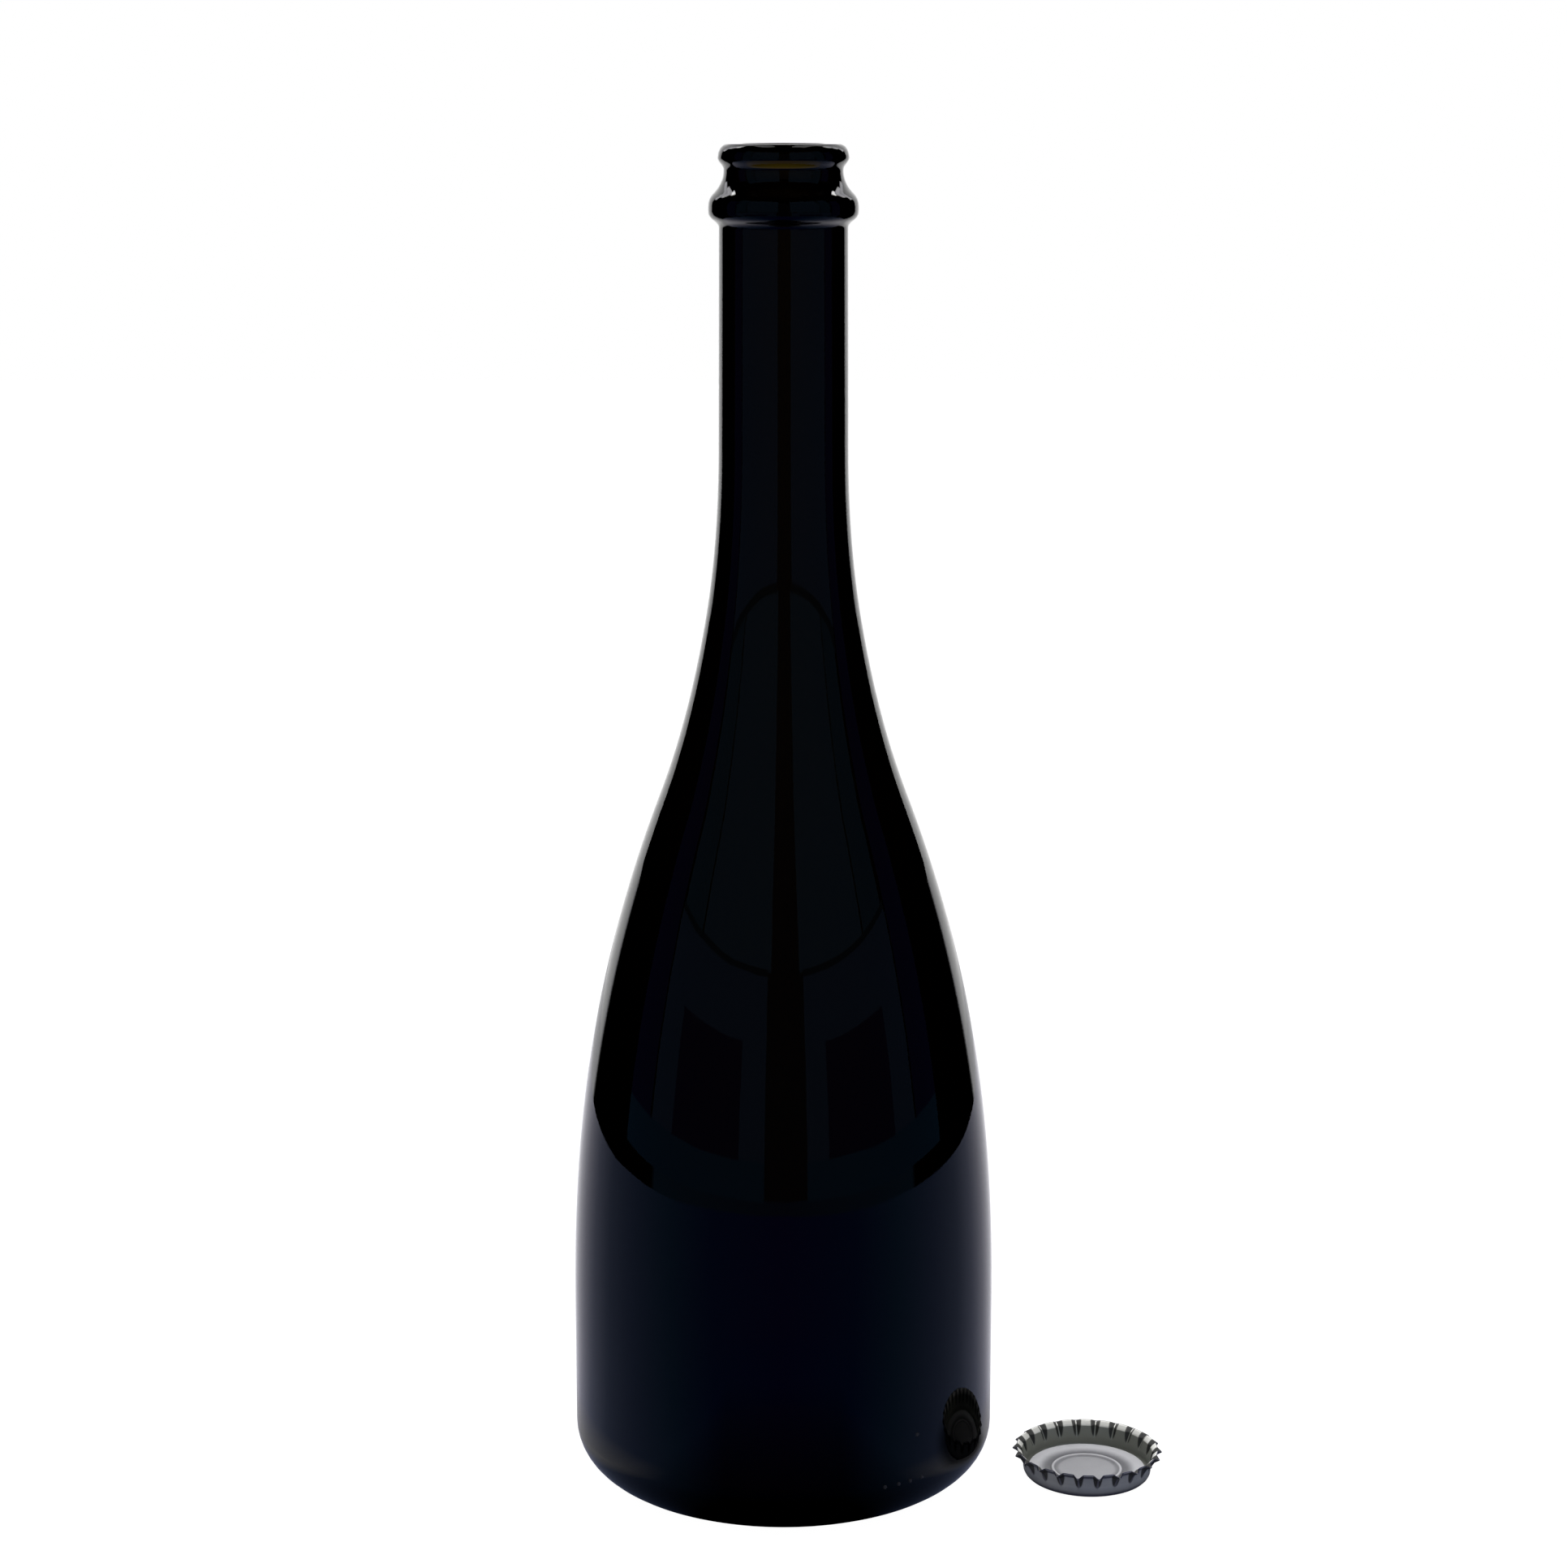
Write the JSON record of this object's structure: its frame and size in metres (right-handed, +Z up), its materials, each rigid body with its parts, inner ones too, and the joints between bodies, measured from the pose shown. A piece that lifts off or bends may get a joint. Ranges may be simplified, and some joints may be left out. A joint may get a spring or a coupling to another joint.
{
  "type": "glass bottle",
  "caption": "Tall dark glass bottle with a long sloping shoulder, beaded crown finish and domed base, with its pressed steel crown cap lying open side up beside it.",
  "frame": {"origin": "on the table, under the middle of the box round the bottle and its loose cap", "axes": "+Z up along the bottle's axis, +X from the bottle towards the cap, -Y towards the picture's camera"},
  "size_m": [0.1372, 0.0974, 0.3054],
  "materials": {
    "dark_glass": "fire-polished, nearly black, amber where it is thin",
    "tinplate": "satin, bare inside and out, dulled blue-grey",
    "liner_plastic": "moulded soft plastic, light grey, satin"
  },
  "bodies": {
    "bottle": {"bottle": "dark_glass"},
    "cap": {"cap_shell": "tinplate", "cap_liner": "liner_plastic"}
  },
  "joints": [
    {"name": "cap_lift", "type": "slide", "parent": "bottle", "child": "cap", "axis": [0, 0, 1], "range_m": [0, 0.315]}
  ]
}
